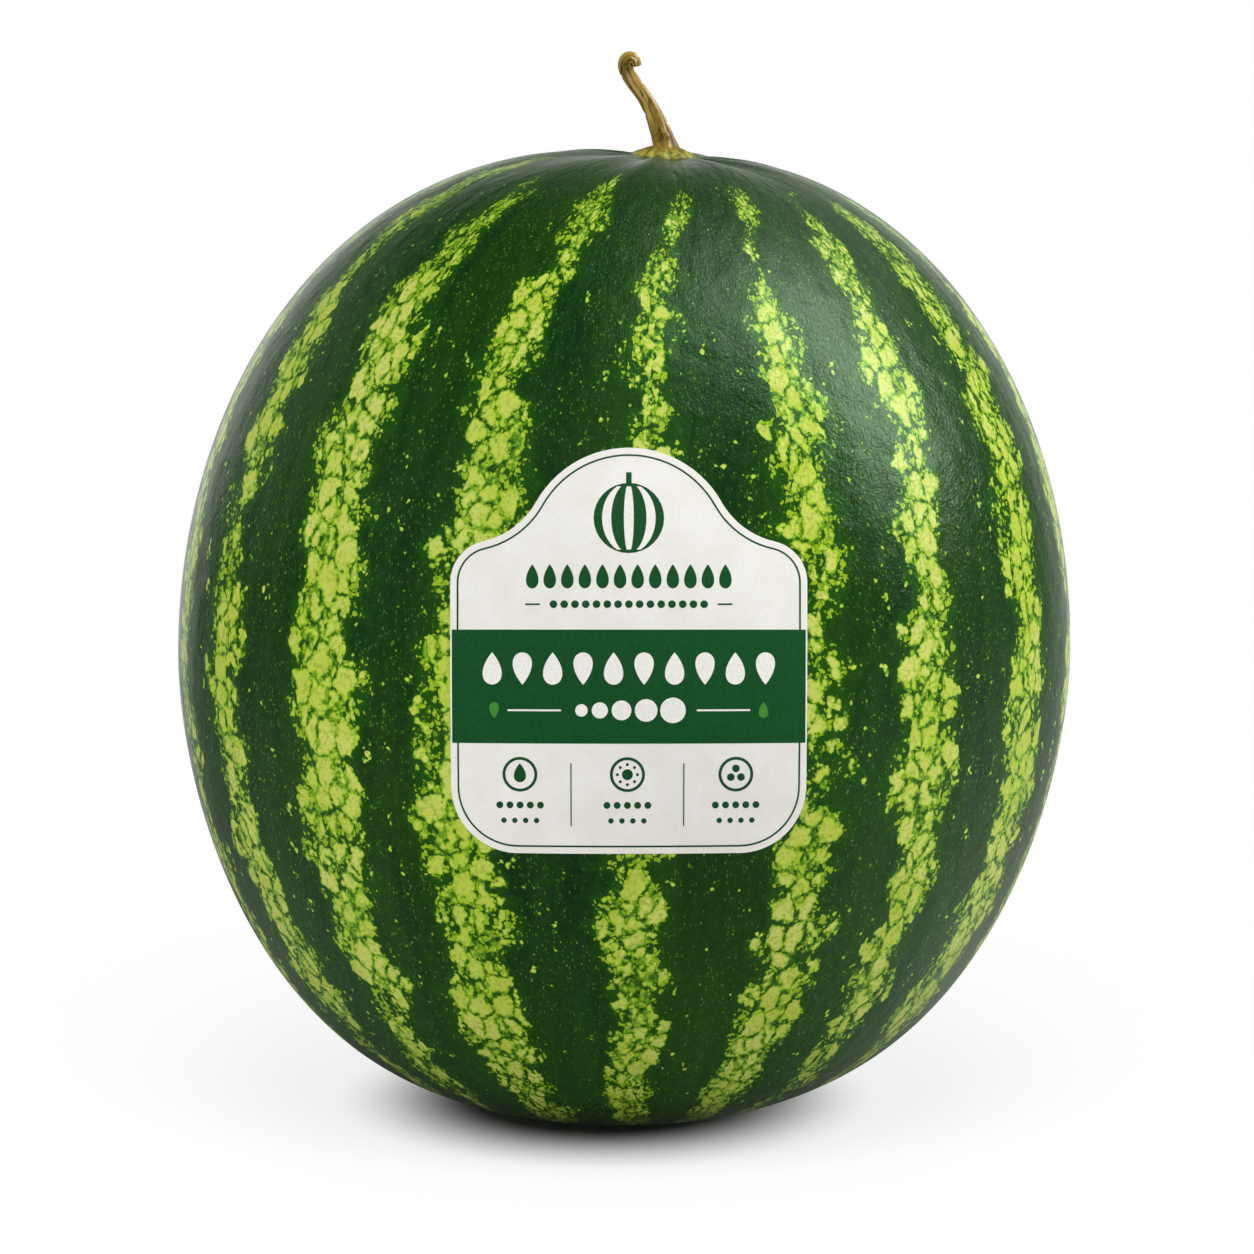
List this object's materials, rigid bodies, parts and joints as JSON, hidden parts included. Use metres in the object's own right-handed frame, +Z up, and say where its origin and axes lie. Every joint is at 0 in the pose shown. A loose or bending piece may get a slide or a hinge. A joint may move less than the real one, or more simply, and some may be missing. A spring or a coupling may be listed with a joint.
{
  "type": "watermelon",
  "caption": "Large striped watermelon standing upright on its flat blossom end, with a short hooked dried stalk and a plain die-cut paper label on the front.",
  "frame": {"origin": "on the ground, in the middle of the fruit's footprint", "axes": "+Z up along the fruit from its blossom end to its stalk, -Y out of the front, through the label, +X to the right as the label is faced"},
  "size_m": [0.2698, 0.2706, 0.322],
  "materials": {
    "rind": "smooth waxy rind, dark green with pale yellow-green mottled stripes",
    "stalk": "dried ridged stalk, olive gold, slightly glossy",
    "label": "coated white paper with a printed dark green band"
  },
  "bodies": {
    "root": {"melon": "rind", "stem": "stalk", "label": "label"}
  },
  "joints": []
}
